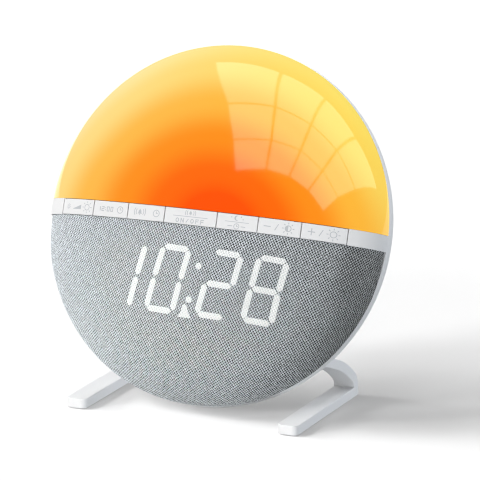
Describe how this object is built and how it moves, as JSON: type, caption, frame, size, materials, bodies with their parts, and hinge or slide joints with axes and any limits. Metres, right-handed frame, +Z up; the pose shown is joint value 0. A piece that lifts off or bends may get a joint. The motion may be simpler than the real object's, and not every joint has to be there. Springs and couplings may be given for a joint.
{
  "type": "sunrise alarm clock",
  "caption": "Round bedside alarm clock that leans back on two bent legs, with a glowing half-dome lamp, a strip of push buttons and a cloth-covered lit display.",
  "frame": {"origin": "centre of the footprint's box on the table", "axes": "+Z up, the front faces -Y, +X to the viewer's right"},
  "size_m": [0.16, 0.0814, 0.1547],
  "materials": {
    "diffuser": "milky translucent, lit from inside",
    "white_case": "fine satin",
    "white_key": "fine satin, thin grey legends",
    "white_leg": "satin",
    "speaker_cloth": "diagonal two-tone weave with lit digits",
    "grey_plastic": "matt",
    "circuit_board": "solder resist",
    "lamp_circuit_board": "white solder resist",
    "switch_steel": "stamped",
    "led": "phosphor in a white cup",
    "white_inner": "reflective white",
    "display_film": "diffusing film",
    "black_plastic": "moulded",
    "cell_steel": "satin",
    "spring_brass": "plated",
    "steel": "zinc plated",
    "grey_metal": "stamped",
    "paper": "coated paper",
    "foam": "soft",
    "ferrite": "plated yoke",
    "lead_red": "PVC insulation",
    "lead_white": "PVC insulation",
    "lead_blue": "PVC insulation",
    "lead_black": "PVC insulation",
    "connector": "nylon",
    "pad": "silicone"
  },
  "bodies": {
    "housing": {"light_diffuser": "diffuser", "front_frame": "white_case", "grille_panel": "grey_plastic", "fabric_cover": "speaker_cloth", "rear_shell": "white_case", "button_board": "circuit_board", "tact_switches": "switch_steel", "display_board": "circuit_board", "display_leds": "led", "display_light_box": "white_inner", "display_film": "display_film", "lamp_board": "lamp_circuit_board", "lamp_leds": "led", "lamp_reflector": "white_inner", "main_board": "circuit_board", "main_chips": "black_plastic", "power_jack": "black_plastic", "coin_cell": "cell_steel", "cell_contacts": "spring_brass", "cell_door": "white_case", "cell_door_screw": "steel", "speaker_basket": "grey_metal", "speaker_cone": "paper", "speaker_surround": "foam", "speaker_magnet": "ferrite", "speaker_gasket": "foam", "speaker_screws": "steel", "lamp_lead": "lead_red", "display_lead": "lead_white", "key_lead": "lead_blue", "speaker_lead": "lead_black", "cell_lead": "lead_red", "lead_connectors": "connector", "left_leg": "white_leg", "right_leg": "white_leg", "leg_pads": "pad", "leg_screws": "steel", "housing_screws": "steel", "board_screws": "steel"},
    "dimmer_key": {"dimmer_button": "white_key", "dimmer_plunger": "black_plastic"},
    "time_key": {"time_button": "white_key", "time_plunger": "black_plastic"},
    "alarm_key": {"alarm_button": "white_key", "alarm_plunger": "black_plastic"},
    "alarm_switch_key": {"alarm_switch_button": "white_key", "alarm_switch_plunger": "black_plastic"},
    "sleep_key": {"sleep_button": "white_key", "sleep_plunger": "black_plastic"},
    "minus_key": {"minus_button": "white_key", "minus_plunger": "black_plastic"},
    "plus_key": {"plus_button": "white_key", "plus_plunger": "black_plastic"}
  },
  "joints": [
    {"name": "dimmer_press", "type": "slide", "parent": "housing", "child": "dimmer_key", "axis": [0, 0.9391, -0.3437], "range_m": [0, 0.0006], "stiffness_N_per_m": 1500, "springref_m": -0.0002},
    {"name": "time_press", "type": "slide", "parent": "housing", "child": "time_key", "axis": [0, 0.9391, -0.3437], "range_m": [0, 0.0006], "stiffness_N_per_m": 1500, "springref_m": -0.0002},
    {"name": "alarm_press", "type": "slide", "parent": "housing", "child": "alarm_key", "axis": [0, 0.9391, -0.3437], "range_m": [0, 0.0006], "stiffness_N_per_m": 1500, "springref_m": -0.0002},
    {"name": "alarm_switch_press", "type": "slide", "parent": "housing", "child": "alarm_switch_key", "axis": [0, 0.9391, -0.3437], "range_m": [0, 0.0006], "stiffness_N_per_m": 1500, "springref_m": -0.0002},
    {"name": "sleep_press", "type": "slide", "parent": "housing", "child": "sleep_key", "axis": [0, 0.9391, -0.3437], "range_m": [0, 0.0006], "stiffness_N_per_m": 1500, "springref_m": -0.0002},
    {"name": "minus_press", "type": "slide", "parent": "housing", "child": "minus_key", "axis": [0, 0.9391, -0.3437], "range_m": [0, 0.0006], "stiffness_N_per_m": 1500, "springref_m": -0.0002},
    {"name": "plus_press", "type": "slide", "parent": "housing", "child": "plus_key", "axis": [0, 0.9391, -0.3437], "range_m": [0, 0.0006], "stiffness_N_per_m": 1500, "springref_m": -0.0002}
  ]
}
